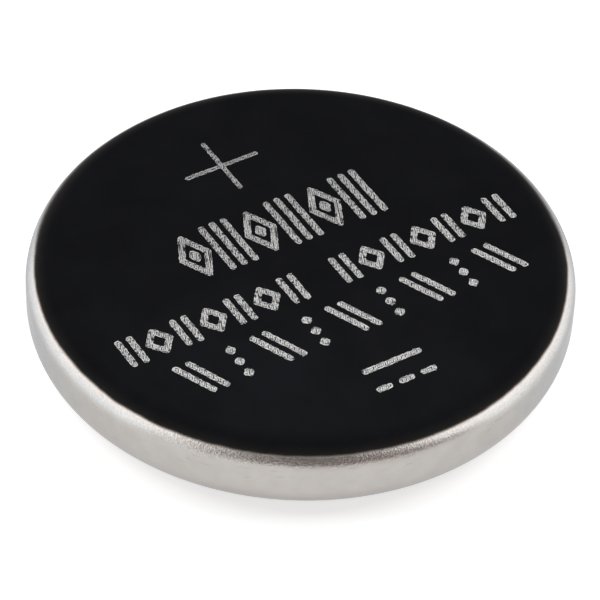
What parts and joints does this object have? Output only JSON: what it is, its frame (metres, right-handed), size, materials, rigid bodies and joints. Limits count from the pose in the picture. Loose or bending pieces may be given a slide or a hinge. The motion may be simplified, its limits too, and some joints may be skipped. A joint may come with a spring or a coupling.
{
  "type": "lithium coin cell",
  "caption": "Flat round coin cell with a black positive face, a rounded bare metal rim, a crimped edge and a raised negative face below.",
  "frame": {"origin": "centre of the outer face of the negative terminal, on which the cell lies", "axes": "+Z out of the positive face, along the axis of the round cell; +X along the rows of marks on that face"},
  "size_m": [0.02, 0.02, 0.0032],
  "materials": {
    "can": "satin nickel-plated steel, with a black finish on the positive face",
    "gasket": "translucent moulded polypropylene",
    "cap": "fine brushed stainless steel",
    "lithium": "dull soft metal foil",
    "separator": "fine non-woven film",
    "cathode": "pressed black powder",
    "grid": "slit and stretched stainless steel"
  },
  "bodies": {
    "root": {"positive_can": "can", "insulating_gasket": "gasket", "negative_cap": "cap", "lithium_anode": "lithium", "separator": "separator", "cathode_pellet": "cathode", "collector_grid": "grid"}
  },
  "joints": []
}
